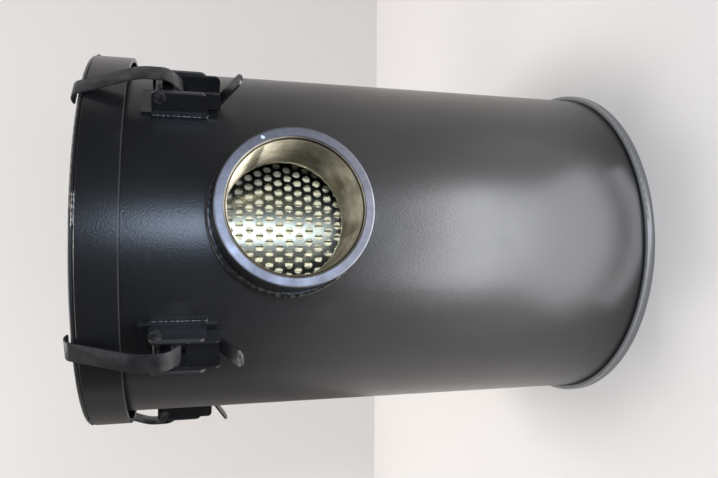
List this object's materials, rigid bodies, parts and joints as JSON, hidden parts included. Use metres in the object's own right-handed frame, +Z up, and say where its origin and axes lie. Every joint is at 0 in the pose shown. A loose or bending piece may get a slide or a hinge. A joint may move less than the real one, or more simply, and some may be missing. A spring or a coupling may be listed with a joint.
{
  "type": "vacuum filter",
  "caption": "Upright cylindrical inlet filter with a threaded side inlet, toggle-latched lid and pleated element behind a perforated tube.",
  "frame": {"origin": "centre of the flat underside of the base plate, on the canister's axis", "axes": "+Z up along the canister's axis, -Y out of the inlet socket, +Y out of the outlet socket"},
  "size_m": [0.311, 0.3356, 0.4236],
  "materials": {
    "black_paint": "satin black paint",
    "weld_paint": "painted weld bead",
    "latch_paint": "worn black paint",
    "strap_steel": "dark finished spring steel",
    "pin_steel": "oiled dark steel",
    "socket_steel": "turned bare steel, oiled",
    "inner_steel": "painted steel inside",
    "galvanised_steel": "galvanised sheet",
    "filter_paper": "pleated filter paper",
    "gasket_rubber": "cellular rubber"
  },
  "bodies": {
    "canister": {"shell": "black_paint", "base_plate": "black_paint", "base_weld": "weld_paint", "top_flange": "black_paint", "inlet_socket": "socket_steel", "inlet_weld": "weld_paint", "outlet_socket": "socket_steel", "outlet_weld": "weld_paint", "partition_plate": "inner_steel", "partition_weld": "weld_paint", "seat_spigot": "inner_steel", "bracket_welds": "weld_paint", "latch_1_bracket": "black_paint", "latch_1_pivot_pin": "pin_steel", "latch_2_bracket": "black_paint", "latch_2_pivot_pin": "pin_steel", "latch_3_bracket": "black_paint", "latch_3_pivot_pin": "pin_steel", "latch_4_bracket": "black_paint", "latch_4_pivot_pin": "pin_steel", "latch_5_bracket": "black_paint", "latch_5_pivot_pin": "pin_steel"},
    "lid": {"lid_plate": "black_paint", "lid_skirt": "black_paint", "lid_weld": "weld_paint", "lid_gasket": "gasket_rubber"},
    "element": {"element_bottom_gasket": "gasket_rubber", "element_bottom_cap": "galvanised_steel", "element_outer_mesh": "galvanised_steel", "element_media": "filter_paper", "element_inner_mesh": "galvanised_steel", "element_top_cap": "galvanised_steel", "element_top_gasket": "gasket_rubber"},
    "lever_1": {"latch_1_lever": "latch_paint", "latch_1_strap_pin": "pin_steel"},
    "strap_1": {"latch_1_strap": "strap_steel"},
    "lever_2": {"latch_2_lever": "latch_paint", "latch_2_strap_pin": "pin_steel"},
    "strap_2": {"latch_2_strap": "strap_steel"},
    "lever_3": {"latch_3_lever": "latch_paint", "latch_3_strap_pin": "pin_steel"},
    "strap_3": {"latch_3_strap": "strap_steel"},
    "lever_4": {"latch_4_lever": "latch_paint", "latch_4_strap_pin": "pin_steel"},
    "strap_4": {"latch_4_strap": "strap_steel"},
    "lever_5": {"latch_5_lever": "latch_paint", "latch_5_strap_pin": "pin_steel"},
    "strap_5": {"latch_5_strap": "strap_steel"}
  },
  "joints": [
    {"name": "lid_lift", "type": "slide", "parent": "canister", "child": "lid", "axis": [0, 0, 1], "range_m": [0, 0.028]},
    {"name": "element_lift", "type": "slide", "parent": "canister", "child": "element", "axis": [0, 0, 1], "range_m": [0, 0.021]},
    {"name": "latch_1_lever_turn", "type": "hinge", "parent": "canister", "child": "lever_1", "pos_m": [0.08846, -0.12176, 0.368], "axis": [-0.809, -0.5878, 0], "range_deg": [0, 110]},
    {"name": "latch_1_strap_turn", "type": "hinge", "parent": "lever_1", "child": "strap_1", "pos_m": [0.08846, -0.12176, 0.356], "axis": [-0.809, -0.5878, 0], "range_deg": [-150, 0]},
    {"name": "latch_2_lever_turn", "type": "hinge", "parent": "canister", "child": "lever_2", "pos_m": [0.14313, 0.04651, 0.368], "axis": [0.309, -0.9511, 0], "range_deg": [0, 110]},
    {"name": "latch_2_strap_turn", "type": "hinge", "parent": "lever_2", "child": "strap_2", "pos_m": [0.14313, 0.04651, 0.356], "axis": [0.309, -0.9511, 0], "range_deg": [-150, 0]},
    {"name": "latch_3_lever_turn", "type": "hinge", "parent": "canister", "child": "lever_3", "pos_m": [0, 0.1505, 0.368], "axis": [1, 0, 0], "range_deg": [0, 110]},
    {"name": "latch_3_strap_turn", "type": "hinge", "parent": "lever_3", "child": "strap_3", "pos_m": [0, 0.1505, 0.356], "axis": [1, 0, 0], "range_deg": [-150, 0]},
    {"name": "latch_4_lever_turn", "type": "hinge", "parent": "canister", "child": "lever_4", "pos_m": [-0.14313, 0.04651, 0.368], "axis": [0.309, 0.9511, 0], "range_deg": [0, 110]},
    {"name": "latch_4_strap_turn", "type": "hinge", "parent": "lever_4", "child": "strap_4", "pos_m": [-0.14313, 0.04651, 0.356], "axis": [0.309, 0.9511, 0], "range_deg": [-150, 0]},
    {"name": "latch_5_lever_turn", "type": "hinge", "parent": "canister", "child": "lever_5", "pos_m": [-0.08846, -0.12176, 0.368], "axis": [-0.809, 0.5878, 0], "range_deg": [0, 110]},
    {"name": "latch_5_strap_turn", "type": "hinge", "parent": "lever_5", "child": "strap_5", "pos_m": [-0.08846, -0.12176, 0.356], "axis": [-0.809, 0.5878, 0], "range_deg": [-150, 0]}
  ],
  "couplings": [
    {"joint": "element_lift", "follows": "lid_lift", "ratio": 0.75},
    {"joint": "latch_1_lever_turn", "follows": "lid_lift", "rad_per_m": 68.566},
    {"joint": "latch_1_strap_turn", "follows": "lid_lift", "rad_per_m": -93.5},
    {"joint": "latch_2_lever_turn", "follows": "lid_lift", "rad_per_m": 68.566},
    {"joint": "latch_2_strap_turn", "follows": "lid_lift", "rad_per_m": -93.5},
    {"joint": "latch_3_lever_turn", "follows": "lid_lift", "rad_per_m": 68.566},
    {"joint": "latch_3_strap_turn", "follows": "lid_lift", "rad_per_m": -93.5},
    {"joint": "latch_4_lever_turn", "follows": "lid_lift", "rad_per_m": 68.566},
    {"joint": "latch_4_strap_turn", "follows": "lid_lift", "rad_per_m": -93.5},
    {"joint": "latch_5_lever_turn", "follows": "lid_lift", "rad_per_m": 68.566},
    {"joint": "latch_5_strap_turn", "follows": "lid_lift", "rad_per_m": -93.5}
  ]
}
